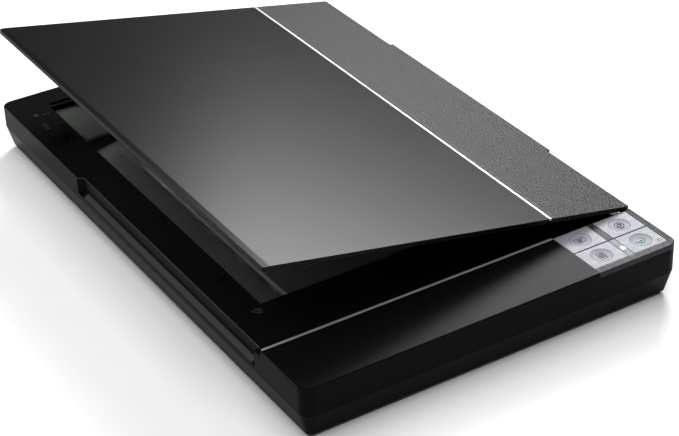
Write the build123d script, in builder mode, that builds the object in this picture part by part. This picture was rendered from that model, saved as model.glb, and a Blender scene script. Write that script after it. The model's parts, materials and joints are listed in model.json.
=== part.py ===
"""A4 flatbed scanner: a low case with a glass platen, a raised control panel at the front,
a lid hinged along the right-hand long side, and a scanning carriage on a belt inside.

Frame: millimetres, +X to the right, +Y to the back, +Z up. The origin is on the table, at the
centre of the case's footprint. The lid is modelled ajar; its parts are built on lid_plane,
a plane through the hinge axis that is tilted by the opening angle, so that their sizes are
the ones that the closed lid has.
"""

from build123d import *
import os
from math import cos, pi, radians, sin

os.makedirs("parts", exist_ok=True)

# ---------------------------------------------------------------- driving dimensions
CASE_WIDTH = 280.0
CASE_DEPTH = 430.0
CORNER_RADIUS = 8.0
WALL = 2.2
HALF_W = CASE_WIDTH / 2
HALF_D = CASE_DEPTH / 2

CASE_BOTTOM = 1.8  # underside of the lower case, held off the table by the feet
FLOOR_TOP = CASE_BOTTOM + WALL
PARTING = 18.7  # height of the seam between the lower and the upper case
SEAM = 0.3  # shadow gap along that seam
TAPER_INSET = 4.6  # how far the lower case draws in from the seam to its underside
DECK_TOP = 34.6  # frame around the glass
DECK_UNDER = DECK_TOP - 2.0
PANEL_SEAT = 36.1  # where the front covers sit on the upper case
PANEL_TOP = 39.5  # top of the raised front section
PANEL_REAR = -165.2  # its rear face

WINDOW = (-112.0, 107.0, -117.5, 188.7)  # glass opening: left, right, front, rear
GLASS_THICK = 2.8
GLASS_TOP = DECK_UNDER - 0.2
GLASS_BOTTOM = GLASS_TOP - GLASS_THICK

RECESS_REAR = 82.0  # finger recess along the left side
RECESS_FRONT = -157.5
RECESS_DEPTH = 4.0
RECESS_LEDGE = (24.7, 22.3)  # ledge height at the inner wall and at the outer face

HINGE_X = 136.5  # lid hinge axis, which runs along Y
HINGE_Z = 37.4
HINGE_YS = (-40.0, 84.0)  # centres of the two hinges
OPEN_ANGLE = 11.24  # how far the lid stands open as modelled
BARREL_R = 2.4
PIN_R = 1.0
REBATE_TOP = 30.8  # lowered border that the lid's edge swings over

LID_TOP = 4.0  # lid heights and lengths are measured from the hinge axis
LID_SKIN = 1.8
LID_EDGE_BOTTOM = 0.8
LID_HINGE_SKIRT = -3.0  # the edge reaches further down along the hinge side
LID_LEFT = -276.5
LID_RIGHT = 2.3
LID_HINGE_EDGE = 5.2  # the edge stands out along the hinges
LID_FRONT = -164.4
LID_REAR = 212.6
HINGE_EDGE = (-76.0, 120.0)
TRIM_X = (-64.1, -62.1)

BUTTON_FIELD = (76.4, 135.0, -209.1, -166.2)  # left, right, front, rear
COLUMN_GAP = (103.5, 108.4)
ROW_GAP = (-188.3, -187.5)
BUTTON_TOP = 39.35
DISH_RADIUS = 7.4
DISH_DEPTH = 0.9

CARRIAGE = (-110.0, 104.0, 137.0, 203.0)  # housing at its home position, at the rear
CARRIAGE_FLOOR = 12.2
CARRIAGE_TOP = 27.0
ROD_X, ROD_Z, ROD_R = -78.0, 8.4, 2.5
PULLEY_TEETH = 16
BELT_PITCH = 2.0
PULLEY_PITCH_R = PULLEY_TEETH * BELT_PITCH / (2 * pi)
PULLEY_X, PULLEY_Y = -98.9, 165.0
GEAR_MODULE = 0.5
GEAR_TEETH = 40
PINION_TEETH = 10
GEAR_CENTRES = GEAR_MODULE * (GEAR_TEETH + PINION_TEETH) / 2
MOTOR_Y = PULLEY_Y - GEAR_CENTRES

LEFT_BOSSES = [(-124.0, 195.0), (-124.0, 20.0), (-124.0, -150.0)]
RIGHT_BOSSES = [(118.5, 100.0), (118.5, -78.0), (118.5, -150.0)]
BOSSES = LEFT_BOSSES + RIGHT_BOSSES
FEET = [(66.0, -203.0), (-100.0, -192.0), (100.0, 192.0), (-100.0, 192.0)]
FOOT_R = 6.0

BOARD_Z = 8.0  # main board
BOARD_THICK = 1.6
PORT_Y = (198.5, 212.2)
USB_X = 118.0
JACK_X = 130.4
PORT_TOP = 20.6
BUTTON_BOARD_Z = 29.6

STAND = (99.0, 129.6, 60.0)  # fold-out stand: free edge x, hinge x, half its length
STAND_AXIS_Z = 3.9
STAND_BARREL_R = 1.85

lid_plane = Plane(
    origin=(HINGE_X, 0, HINGE_Z),
    x_dir=(cos(radians(OPEN_ANGLE)), 0, -sin(radians(OPEN_ANGLE))),
    z_dir=(sin(radians(OPEN_ANGLE)), 0, cos(radians(OPEN_ANGLE))),
)
lid_section = Plane(origin=lid_plane.origin, x_dir=lid_plane.x_dir, z_dir=(0, -1, 0))


# ---------------------------------------------------------------- shared helpers
def block(x, y, z, mode=Mode.ADD):
    """A box between the two ends given for each axis, in the current part's frame."""
    with Locations(((x[0] + x[1]) / 2, (y[0] + y[1]) / 2, (z[0] + z[1]) / 2)):
        Box(abs(x[1] - x[0]), abs(y[1] - y[0]), abs(z[1] - z[0]), mode=mode)


def post(x, y, z, radius, mode=Mode.ADD):
    """An upright cylinder at (x, y) between two heights."""
    with Locations((x, y, (z[0] + z[1]) / 2)):
        Cylinder(radius, z[1] - z[0], mode=mode)


def barrel(x, y, z, radius, mode=Mode.ADD):
    """A cylinder along Y between the two ends in y."""
    with Locations((x, (y[0] + y[1]) / 2, z)):
        Cylinder(radius, y[1] - y[0], rotation=(90, 0, 0), mode=mode)


def toothed_sketch(teeth, pitch_radius, first_angle):
    """Outline of a small spur gear, with backlash enough for moulded teeth."""
    addendum = 0.8 * GEAR_MODULE
    dedendum = 1.25 * GEAR_MODULE
    with BuildSketch() as outline:
        Circle(pitch_radius - dedendum + 0.02)
        with PolarLocations(pitch_radius, teeth, start_angle=first_angle):
            Polygon(
                (-dedendum, -0.95 * GEAR_MODULE),
                (addendum, -0.3 * GEAR_MODULE),
                (addendum, 0.3 * GEAR_MODULE),
                (-dedendum, 0.95 * GEAR_MODULE),
                align=None,
            )
    return outline.sketch


def case_outline(inset=0.0, mode=Mode.ADD):
    """Rounded rectangle of the case, drawn in by inset."""
    radius = CORNER_RADIUS - min(inset, 5)
    RectangleRounded(CASE_WIDTH - 2 * inset, CASE_DEPTH - 2 * inset, radius, mode=mode)


def wall_inset(z):
    """How far the lower case's outer face has drawn in at height z."""
    return TAPER_INSET * (PARTING - z) / (PARTING - CASE_BOTTOM)


# ================================================================ case
# ---- lower case: tapered tub with screw bosses, rail, seats and pockets
with BuildPart() as lower_case:
    with BuildSketch(Plane.XY.offset(CASE_BOTTOM)):
        case_outline(TAPER_INSET)
    with BuildSketch(Plane.XY.offset(PARTING)):
        case_outline()
    loft()
    underside = lower_case.faces().sort_by(Axis.Z)[0]
    fillet(underside.edges(), radius=1.4)
    with BuildSketch(Plane.XY.offset(FLOOR_TOP)):
        case_outline(wall_inset(FLOOR_TOP) + WALL)
    with BuildSketch(Plane.XY.offset(PARTING)):
        case_outline(WALL)
    loft(mode=Mode.SUBTRACT)
    # tongue that locates the upper case
    with BuildSketch(Plane.XY.offset(PARTING - 1.5)):
        case_outline(WALL * 0.57)
        case_outline(WALL, Mode.SUBTRACT)
    extrude(amount=3.2)
    # screw bosses with counterbored holes from below
    for x, y in BOSSES:
        post(x, y, (FLOOR_TOP - 0.5, PARTING), 4.6)
    for x, y in BOSSES:
        post(x, y, (CASE_BOTTOM - 1, PARTING + 1), 1.7, Mode.SUBTRACT)
        post(x, y, (CASE_BOTTOM - 1, CASE_BOTTOM + 4.6), 3.2, Mode.SUBTRACT)
    # rail for the carriage's free end
    block((86.0, 90.0), (-205.0, 208.0), (FLOOR_TOP - 0.5, 9.0))
    # stiffening ribs across the floor
    for y in (-120.0, -60.0, 0.0, 60.0):
        block((-60.0, 80.0), (y - 0.7, y + 0.7), (FLOOR_TOP - 0.5, FLOOR_TOP + 1.4))
    # seats for the rod clamps, the belt ends, the main board and the hinge sockets
    for y in ((-209.5, -203.6), (203.6, 209.5)):
        block((-86.0, -70.0), y, (FLOOR_TOP - 0.5, 4.6))
    for x, y in ((113.5, 116.5), (133.0, 116.5), (113.5, 192.0), (131.5, 192.0)):
        post(x, y, (FLOOR_TOP - 0.5, BOARD_Z), 2.2)
    for y in HINGE_YS:
        block((125.0, 132.0), (y - 7.0, y + 7.0), (FLOOR_TOP - 0.5, 8.0))
    # seats of the feet, sunk into the underside
    for x, y in FEET:
        post(x, y, (CASE_BOTTOM - 1, CASE_BOTTOM + 0.8), FOOT_R + 0.05, Mode.SUBTRACT)
    # pocket for the fold-out stand, with a raised floor over it
    block((STAND[0] - 3.4, 133.2), (-66.0, 66.0), (FLOOR_TOP - 0.5, 7.2))
    block(
        (STAND[0] - 1.4, STAND[1] + 2.4),
        (-STAND[2] - 0.5, STAND[2] + 0.5),
        (CASE_BOTTOM - 2, 6.0),
        Mode.SUBTRACT,
    )
    block((STAND[0] + 9, STAND[0] + 15), (-75.0, 75.0), (CASE_BOTTOM - 2, 3.2), Mode.SUBTRACT)
    barrel(STAND[1], (-64.2, 64.2), STAND_AXIS_Z, PIN_R + 0.02, Mode.SUBTRACT)
    # ventilation slots in the underside
    with Locations((20, -150, FLOOR_TOP), (20, 150, FLOOR_TOP)):
        with GridLocations(9, 0, 8, 1):
            Box(3, 22, 3 * WALL, mode=Mode.SUBTRACT)
    # openings in the rear wall for the two sockets
    block((USB_X - 6.3, USB_X + 6.3), (205.0, HALF_D + 1), (9.3, PARTING + 3), Mode.SUBTRACT)
    block((JACK_X - 4.8, JACK_X + 4.8), (205.0, HALF_D + 1), (9.3, PARTING + 3), Mode.SUBTRACT)
lower_case.part.label = "lower_case"
export_step(lower_case.part, "parts/lower_case.step")

# ---- upper case: walls, deck with the glass opening, finger recess and hinge border
with BuildPart() as upper_case:
    with BuildSketch(Plane.XY.offset(PARTING + SEAM)):
        case_outline()
    extrude(amount=DECK_TOP - PARTING - SEAM)
    rim = upper_case.faces().sort_by(Axis.Z)[-1]
    fillet(rim.edges(), radius=0.8)
    with BuildSketch(Plane.XY.offset(PARTING + SEAM)):
        case_outline()
        with Locations((0, HALF_D + PANEL_REAR)):
            Rectangle(CASE_WIDTH + 2, CASE_DEPTH, mode=Mode.SUBTRACT)
    extrude(amount=PANEL_SEAT - PARTING - SEAM)
    # inside
    inner_left = -HALF_W + RECESS_DEPTH + WALL + 0.2
    wall_x = HALF_W - WALL
    wall_y = HALF_D - WALL
    below = PARTING - 1
    block((inner_left, 123.4), (PANEL_REAR, wall_y), (below, DECK_UNDER), Mode.SUBTRACT)
    block((120.0, wall_x), (PANEL_REAR, wall_y), (below, REBATE_TOP - WALL), Mode.SUBTRACT)
    block((-wall_x, -130.0), (RECESS_REAR + 7, wall_y), (below, DECK_UNDER), Mode.SUBTRACT)
    block((-wall_x, -130.0), (-wall_y, wall_y), (below, RECESS_LEDGE[1] - WALL), Mode.SUBTRACT)
    block((-wall_x, wall_x), (-wall_y, PANEL_REAR - 2.2), (below, PANEL_SEAT + 1), Mode.SUBTRACT)
    block(
        (-wall_x, wall_x),
        (PANEL_REAR - 3, PANEL_REAR + 1),
        (below, RECESS_LEDGE[1] - WALL),
        Mode.SUBTRACT,
    )
    block((inner_left, 123.4), (PANEL_REAR - 3, PANEL_REAR + 1), (below, 30.4), Mode.SUBTRACT)
    # rounded inner corners
    with BuildSketch(Plane.XY.offset(PARTING + SEAM)):
        case_outline()
        case_outline(WALL, Mode.SUBTRACT)
    extrude(amount=DECK_TOP - 1.0 - PARTING - SEAM)
    with BuildSketch(Plane.XY.offset(PARTING + SEAM)):
        case_outline()
        case_outline(WALL, Mode.SUBTRACT)
        with Locations((0, HALF_D + PANEL_REAR)):
            Rectangle(CASE_WIDTH + 2, CASE_DEPTH, mode=Mode.SUBTRACT)
    extrude(amount=PANEL_SEAT - PARTING - SEAM)
    # rebate that receives the lower case's tongue
    with BuildSketch(Plane.XY.offset(PARTING)):
        case_outline(WALL * 0.5)
    extrude(amount=2.2, mode=Mode.SUBTRACT)
    # glass opening
    block(WINDOW[0:2], WINDOW[2:4], (DECK_UNDER - 1, DECK_TOP + 1), Mode.SUBTRACT)
    # finger recess: a straight wall, a sloping ledge and a slanted rear end
    with BuildSketch(Plane.XZ.offset(-RECESS_REAR)):
        with BuildLine():
            Polyline(
                (-HALF_W - 2, DECK_TOP + 2),
                (-HALF_W + RECESS_DEPTH, DECK_TOP + 2),
                (-HALF_W + RECESS_DEPTH, RECESS_LEDGE[0]),
                (-HALF_W, RECESS_LEDGE[1]),
                (-HALF_W - 2, RECESS_LEDGE[1]),
                close=True,
            )
        make_face()
    extrude(amount=RECESS_REAR - RECESS_FRONT, mode=Mode.SUBTRACT)
    with BuildSketch(Plane.XY.offset(RECESS_LEDGE[1] + 0.8)):
        with BuildLine():
            Polyline(
                (-HALF_W + RECESS_DEPTH, RECESS_REAR),
                (-HALF_W - 2, RECESS_REAR + 5.5),
                (-HALF_W - 2, RECESS_REAR - 1),
                (-HALF_W + RECESS_DEPTH, RECESS_REAR - 1),
                close=True,
            )
        make_face()
    extrude(amount=DECK_TOP, mode=Mode.SUBTRACT)
    # lowered border for the lid's hinge edge, with a pocket at each hinge post
    block(
        (129.6, HALF_W + 1), (PANEL_REAR, HALF_D + 1), (REBATE_TOP, PANEL_TOP), Mode.SUBTRACT
    )
    for y in HINGE_YS:
        block((125.9, 135.0), (y - 6.6, y + 6.6), (REBATE_TOP, PANEL_TOP), Mode.SUBTRACT)
        block((126.1, 132.9), (y - 6.15, y + 6.15), (20.0, PANEL_TOP), Mode.SUBTRACT)
    # shallow groove along the rear edge of the glass
    block((-110.5, 105.5), (190.6, 194.6), (DECK_TOP - 1.2, DECK_TOP + 1), Mode.SUBTRACT)
    # slider pocket of the transport lock, and the slot for its neck
    block((-131.6, -115.6), (134.3, 147.7), (DECK_TOP - 1.3, DECK_TOP + 1), Mode.SUBTRACT)
    block((-129.4, -120.0), (138.6, 143.4), (DECK_UNDER - 1, DECK_TOP), Mode.SUBTRACT)
    # guide pocket with its raised rib, near the front of the left border
    block((-121.4, -117.2), (-88.4, -79.8), (DECK_TOP - 1.3, DECK_TOP + 1), Mode.SUBTRACT)
    block((-124.2, -122.8), (-90.0, -77.0), (DECK_TOP - 0.2, DECK_TOP + 0.7))
    # screw bosses
    for x, y in BOSSES:
        roof = DECK_UNDER if x < 0 or y > PANEL_REAR else PANEL_SEAT
        post(x, y, (PARTING + SEAM, roof + 0.1), 4.2)
    for x, y in BOSSES:
        post(x, y, (PARTING - 1, DECK_UNDER - 4), 1.5, Mode.SUBTRACT)
    # openings in the rear wall for the two sockets
    block((USB_X - 6.3, USB_X + 6.3), (206.0, HALF_D + 1), (below, 20.9), Mode.SUBTRACT)
    block((JACK_X - 4.8, JACK_X + 4.8), (206.0, HALF_D + 1), (below, 20.9), Mode.SUBTRACT)
upper_case.part.label = "upper_case"
export_step(upper_case.part, "parts/upper_case.step")


def front_cover_outline(left, right):
    """Part of the case outline ahead of the panel's rear face, between two x positions."""
    case_outline()
    with Locations((0, HALF_D + PANEL_REAR)):
        Rectangle(CASE_WIDTH + 2, CASE_DEPTH, mode=Mode.SUBTRACT)
    with Locations((left - CASE_WIDTH / 2, 0)):
        Rectangle(CASE_WIDTH, CASE_DEPTH + 2, mode=Mode.SUBTRACT)
    with Locations((right + CASE_WIDTH / 2, 0)):
        Rectangle(CASE_WIDTH, CASE_DEPTH + 2, mode=Mode.SUBTRACT)


# ---- front panel: left part of the raised front section
with BuildPart() as front_panel:
    with BuildSketch(Plane.XY.offset(PANEL_SEAT + 0.1)):
        front_cover_outline(-HALF_W - 1, 75.9)
    extrude(amount=PANEL_TOP - PANEL_SEAT - 0.1)
    cover_top = front_panel.faces().sort_by(Axis.Z)[-1]
    outer = cover_top.edges().filter_by(lambda e: e.center().X < 60 and e.center().Y < -166)
    fillet(outer, radius=0.9)
    block(
        (-wall_x + 2, 74.4),
        (-wall_y + 2, PANEL_REAR - 2.4),
        (PANEL_SEAT - 1, PANEL_TOP - 2.2),
        Mode.SUBTRACT,
    )
    block(
        (-HALF_W - 1, 76.5),
        (PANEL_REAR - 2.05, PANEL_REAR + 1),
        (PANEL_TOP - 1.0, PANEL_TOP + 1),
        Mode.SUBTRACT,
    )
    # stiffening ribs under the top
    for x in (-100.0, -50.0, 0.0, 50.0):
        block((x - 0.6, x + 0.6), (-wall_y + 1, PANEL_REAR - 2.4), (PANEL_SEAT + 0.3, PANEL_TOP - 2))
front_panel.part.label = "front_panel"
export_step(front_panel.part, "parts/front_panel.step")

# ---- silver strip along the rear edge of the front panel
with BuildPart() as base_trim_strip:
    block(
        (-139.2, 75.6), (PANEL_REAR - 2.0, PANEL_REAR), (PANEL_TOP - 0.95, PANEL_TOP + 0.15)
    )
    top_edges = base_trim_strip.faces().sort_by(Axis.Z)[-1].edges()
    fillet(top_edges, radius=0.25)
base_trim_strip.part.label = "base_trim_strip"
export_step(base_trim_strip.part, "parts/base_trim_strip.step")

# ---- button bezel: right part of the front section, a tray with a rim in front and at the right
with BuildPart() as button_bezel:
    with BuildSketch(Plane.XY.offset(PANEL_SEAT + 0.1)):
        front_cover_outline(76.1, HALF_W + 1)
    extrude(amount=PANEL_TOP - PANEL_SEAT - 0.1)
    bezel_top = button_bezel.faces().sort_by(Axis.Z)[-1]
    outer = bezel_top.edges().filter_by(lambda e: e.center().X > 90 and e.center().Y < -166)
    fillet(outer, radius=0.9)
    block(
        (70.0, BUTTON_FIELD[1] + 0.35),
        (BUTTON_FIELD[2] - 0.25, BUTTON_FIELD[3] + 0.3),
        (PANEL_SEAT + 0.6, PANEL_TOP + 1),
        Mode.SUBTRACT,
    )
    block(
        (70.0, BUTTON_FIELD[1] + 0.35),
        (BUTTON_FIELD[3], PANEL_REAR + 1),
        (PANEL_TOP - 0.7, PANEL_TOP + 1),
        Mode.SUBTRACT,
    )
    # tray floor, hung inside the upper case's walls
    block((76.1, 135.6), (-210.6, PANEL_REAR - 2.6), (PANEL_SEAT - 1.0, PANEL_SEAT + 0.6))
    for x in (90.0, 121.7):
        for y in (-176.9, -198.7):
            post(x, y, (PANEL_SEAT - 2, PANEL_SEAT + 2), 2.4, Mode.SUBTRACT)
    block((104.2, 107.4), (-202.5, -195.5), (PANEL_SEAT - 2, PANEL_SEAT + 2), Mode.SUBTRACT)
    # posts that carry the button board
    for x, y in ((80.0, -207.0), (133.0, -207.0), (80.0, -170.5), (133.0, -170.5)):
        post(x, y, (BUTTON_BOARD_Z + 1.6, PANEL_SEAT), 1.8)
button_bezel.part.label = "button_bezel"
export_step(button_bezel.part, "parts/button_bezel.step")

# ---- spacer between the two rear buttons
with BuildPart() as panel_spacer:
    block(
        (COLUMN_GAP[0] + 0.35, COLUMN_GAP[1] - 0.3),
        (ROW_GAP[1], BUTTON_FIELD[3]),
        (PANEL_SEAT + 0.6, BUTTON_TOP - 0.25),
    )
panel_spacer.part.label = "panel_spacer"
export_step(panel_spacer.part, "parts/panel_spacer.step")

# ---- light window between the two front buttons, with its light pipe
with BuildPart() as status_window:
    block(
        (COLUMN_GAP[0] + 0.35, COLUMN_GAP[1] - 0.3),
        (BUTTON_FIELD[2], ROW_GAP[0]),
        (PANEL_SEAT + 0.7, BUTTON_TOP - 0.15),
    )
    block((104.4, 107.2), (-202.2, -195.8), (BUTTON_BOARD_Z + 3.0, PANEL_SEAT + 1))
status_window.part.label = "status_window"
export_step(status_window.part, "parts/status_window.step")

# ---- status lamp on the button board
with BuildPart() as status_led:
    block((104.6, 107.0), (-200.2, -197.8), (BUTTON_BOARD_Z + 1.6, BUTTON_BOARD_Z + 2.4))
    post(105.8, -199.0, (BUTTON_BOARD_Z + 2.4, BUTTON_BOARD_Z + 2.8), 0.9)
status_led.part.label = "status_led"
export_step(status_led.part, "parts/status_led.step")

# ---- button board and its four push switches
with BuildPart() as button_board:
    block((77.5, 135.4), (-210.0, -168.5), (BUTTON_BOARD_Z, BUTTON_BOARD_Z + 1.6))
    for x, y in ((80.0, -207.0), (133.0, -207.0), (80.0, -170.5), (133.0, -170.5)):
        post(x, y, (BUTTON_BOARD_Z - 1, BUTTON_BOARD_Z + 2), 0.9, Mode.SUBTRACT)
button_board.part.label = "button_board"
export_step(button_board.part, "parts/button_board.step")

BUTTONS = {
    "button_rear_left": (BUTTON_FIELD[0], COLUMN_GAP[0], ROW_GAP[1], BUTTON_FIELD[3]),
    "button_rear_right": (COLUMN_GAP[1], BUTTON_FIELD[1], ROW_GAP[1], BUTTON_FIELD[3]),
    "button_front_left": (BUTTON_FIELD[0], COLUMN_GAP[0], BUTTON_FIELD[2], ROW_GAP[0]),
    "button_front_right": (COLUMN_GAP[1], BUTTON_FIELD[1], BUTTON_FIELD[2], ROW_GAP[0]),
}

with BuildPart() as button_switches:
    for x0, x1, y0, y1 in BUTTONS.values():
        cx, cy = (x0 + x1) / 2, (y0 + y1) / 2
        foot = BUTTON_BOARD_Z + 1.6
        block((cx - 3, cx + 3), (cy - 3, cy + 3), (foot, foot + 2.5))
        post(cx, cy, (foot + 2.5, foot + 3.1), 1.6)
button_switches.part.label = "button_switches"
export_step(button_switches.part, "parts/button_switches.step")

# ---- the four silver buttons: a cap with a round dish, and a stem down to its switch
dish_sphere = (DISH_RADIUS**2 + DISH_DEPTH**2) / (2 * DISH_DEPTH)
for name, (x0, x1, y0, y1) in BUTTONS.items():
    cx, cy = (x0 + x1) / 2, (y0 + y1) / 2
    with BuildPart() as button:
        block((x0, x1), (y0, y1), (BUTTON_TOP - 1.9, BUTTON_TOP))
        fillet(button.faces().sort_by(Axis.Z)[-1].edges(), radius=0.35)
        with Locations((cx, cy, BUTTON_TOP - DISH_DEPTH + dish_sphere)):
            Sphere(dish_sphere, mode=Mode.SUBTRACT)
        post(cx, cy, (PANEL_SEAT - 1.25, BUTTON_TOP - 1.5), 2.0)
    button.part.label = name
    export_step(button.part, "parts/" + name + ".step")

# ================================================================ glass and its seal
seal = (WINDOW[0] - 5.0, WINDOW[1] + 5.0, WINDOW[2] - 5.0, WINDOW[3] + 12.0)
with BuildPart() as platen_glass:
    block(seal[0:2], seal[2:4], (GLASS_BOTTOM, GLASS_TOP))
platen_glass.part.label = "platen_glass"
export_step(platen_glass.part, "parts/platen_glass.step")

with BuildPart() as glass_tape:
    block(seal[0:2], seal[2:4], (GLASS_TOP, DECK_UNDER))
    block(
        (WINDOW[0] - 1.0, WINDOW[1] + 1.0),
        (WINDOW[2] - 1.0, WINDOW[3] + 8.0),
        (GLASS_TOP - 1, DECK_UNDER + 1),
        Mode.SUBTRACT,
    )
glass_tape.part.label = "glass_tape"
export_step(glass_tape.part, "parts/glass_tape.step")

with BuildPart() as calibration_strip:
    block((WINDOW[0] + 1, WINDOW[1] - 1), (190.2, 196.2), (GLASS_TOP, GLASS_TOP + 0.18))
calibration_strip.part.label = "calibration_strip"
export_step(calibration_strip.part, "parts/calibration_strip.step")

# ================================================================ drive that stays in the case
with BuildPart() as guide_rod:
    barrel(ROD_X, (-208.9, 208.9), ROD_Z, ROD_R)
    chamfer(guide_rod.edges().filter_by(GeomType.CIRCLE), length=0.4)
guide_rod.part.label = "guide_rod"
export_step(guide_rod.part, "parts/guide_rod.step")

with BuildPart() as rod_clamps:
    for y in ((-208.6, -203.6), (203.6, 208.6)):
        block((ROD_X - 3.4, ROD_X + 3.4), y, (4.65, ROD_Z))
        barrel(ROD_X, y, ROD_Z, 3.4)
        block((ROD_X - 8.0, ROD_X + 8.0), y, (4.65, 6.4))
    block((-100, -60), (-215, 215), (0, 4.65), Mode.SUBTRACT)
    barrel(ROD_X, (-214.0, 214.0), ROD_Z, ROD_R + 0.02, Mode.SUBTRACT)
rod_clamps.part.label = "rod_clamps"
export_step(rod_clamps.part, "parts/rod_clamps.step")

BELT_FACE_X = PULLEY_X - PULLEY_PITCH_R + 0.19  # belt surface between its teeth
BELT_BACK_X = BELT_FACE_X - 0.8
BELT_Z = (5.2, 8.4)
with BuildPart() as drive_belt:
    with BuildSketch(Plane.XY.offset(BELT_Z[0])):
        with Locations(((BELT_FACE_X + BELT_BACK_X) / 2, 4.0)):
            Rectangle(0.8, 398.0)
        with Locations((BELT_FACE_X + 0.25, PULLEY_Y - 77 * BELT_PITCH)):
            with GridLocations(0, BELT_PITCH, 1, 171):
                Rectangle(0.9, 0.7)
    extrude(amount=BELT_Z[1] - BELT_Z[0])
drive_belt.part.label = "drive_belt"
export_step(drive_belt.part, "parts/drive_belt.step")

with BuildPart() as belt_anchor:
    block((-112.0, -98.0), (-206.0, -194.0), (FLOOR_TOP, 10.0))
    block(
        (BELT_BACK_X - 0.02, BELT_FACE_X + 0.02),
        (-210.0, -190.0),
        (BELT_Z[0] - 0.02, 12.0),
        Mode.SUBTRACT,
    )
    fillet(belt_anchor.edges().filter_by(Axis.Z).group_by(Axis.X)[0], radius=2.0)
belt_anchor.part.label = "belt_anchor"
export_step(belt_anchor.part, "parts/belt_anchor.step")

with BuildPart() as belt_tensioner:
    block((-112.0, -98.0), (199.0, 205.0), (4.05, 10.0))
    block(
        (BELT_BACK_X - 0.02, BELT_FACE_X + 0.02),
        (190.0, 210.0),
        (BELT_Z[0] - 0.02, 12.0),
        Mode.SUBTRACT,
    )
    block((-101.6, -99.6), (205.0, 208.8), (6.0, 8.0))
belt_tensioner.part.label = "belt_tensioner"
export_step(belt_tensioner.part, "parts/belt_tensioner.step")

with BuildPart() as tension_spring:
    with BuildLine() as coil:
        Helix(pitch=1.0, height=3.0, radius=2.1, center=(-100.6, 205.4, 7.0), direction=(0, 1, 0))
    with BuildSketch(Plane(origin=coil.line @ 0, z_dir=coil.line % 0)):
        Circle(0.3)
    sweep()
tension_spring.part.label = "tension_spring"
export_step(tension_spring.part, "parts/tension_spring.step")

# ================================================================ electronics in the case
with BuildPart() as main_board:
    block((110.5, 133.8), (112.5, 208.2), (BOARD_Z, BOARD_Z + BOARD_THICK))
    for x, y in ((113.5, 116.5), (133.0 - 1.4, 116.5), (113.5, 192.0), (131.5, 192.0)):
        post(x, y, (BOARD_Z - 1, BOARD_Z + 3), 1.3, Mode.SUBTRACT)
main_board.part.label = "main_board"
export_step(main_board.part, "parts/main_board.step")

with BuildPart() as board_chips:
    top = BOARD_Z + BOARD_THICK
    block((116.0, 130.0), (150.0, 164.0), (top, top + 1.6))
    block((117.0, 125.0), (134.0, 143.0), (top, top + 1.2))
    block((117.0, 127.0), (170.0, 176.0), (top, top + 2.0))
    for y in (178.0, 184.5):
        post(128.5, y, (top, top + 7.0), 2.6)
    block((111.2, 114.4), (125.3, 131.0), (top, top + 6.2))
board_chips.part.label = "board_chips"
export_step(board_chips.part, "parts/board_chips.step")

with BuildPart() as usb_port:
    block((USB_X - 6.0, USB_X + 6.0), PORT_Y, (BOARD_Z + BOARD_THICK, PORT_TOP))
    with BuildSketch(Plane.XZ.offset(-PORT_Y[1])):
        with Locations((USB_X, 15.1)):
            RectangleRounded(9.0, 8.4, 0.8)
    extrude(amount=10.0, mode=Mode.SUBTRACT)
    block((USB_X - 2.8, USB_X + 2.8), (PORT_Y[1] - 11, PORT_Y[1] - 2.4), (13.5, 16.7))
usb_port.part.label = "usb_port"
export_step(usb_port.part, "parts/usb_port.step")

with BuildPart() as power_jack:
    block((JACK_X - 4.5, JACK_X + 4.5), PORT_Y, (BOARD_Z + BOARD_THICK, PORT_TOP))
    barrel(JACK_X, (PORT_Y[1] - 10, PORT_Y[1] + 1), 15.1, 3.1, Mode.SUBTRACT)
    barrel(JACK_X, (PORT_Y[1] - 11, PORT_Y[1] - 1.0), 15.1, 1.0)
power_jack.part.label = "power_jack"
export_step(power_jack.part, "parts/power_jack.step")

# flat cable: stands on edge, doubles back on itself halfway along the carriage's travel
CABLE_FIXED_X, CABLE_MOVING_X, CABLE_BEND_Y = 112.8, 107.4, -20.0
with BuildPart() as ribbon_cable:
    bend = (CABLE_FIXED_X - CABLE_MOVING_X) / 2
    with BuildSketch(Plane.XY.offset(11.0)) as cable_section:
        with BuildLine():
            cable_run = FilletPolyline(
                (CABLE_FIXED_X, 125.0),
                (CABLE_FIXED_X, CABLE_BEND_Y - bend),
                (CABLE_MOVING_X, CABLE_BEND_Y - bend),
                (CABLE_MOVING_X, 150.0),
                radius=bend - 0.01,
            )
            offset(cable_run, amount=0.15)
        make_face()
    extrude(amount=4.8)
ribbon_cable.part.label = "ribbon_cable"
export_step(ribbon_cable.part, "parts/ribbon_cable.step")

# ================================================================ feet, screws, stand
with BuildPart() as rubber_feet:
    for x, y in FEET:
        post(x, y, (0, CASE_BOTTOM + 0.8), FOOT_R)
    fillet(rubber_feet.edges().group_by(Axis.Z)[0], radius=0.6)
rubber_feet.part.label = "rubber_feet"
export_step(rubber_feet.part, "parts/rubber_feet.step")

with BuildPart() as case_screws:
    head = (CASE_BOTTOM + 2.0, CASE_BOTTOM + 4.6)
    for x, y in BOSSES:
        post(x, y, head, 2.8)
        post(x, y, (head[1], DECK_UNDER - 6), 1.45)
    for x, y in BOSSES:
        with Locations((x, y, head[0])):
            Box(4.0, 0.9, 2.4, mode=Mode.SUBTRACT)
            Box(0.9, 4.0, 2.4, mode=Mode.SUBTRACT)
case_screws.part.label = "case_screws"
export_step(case_screws.part, "parts/case_screws.step")

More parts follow.
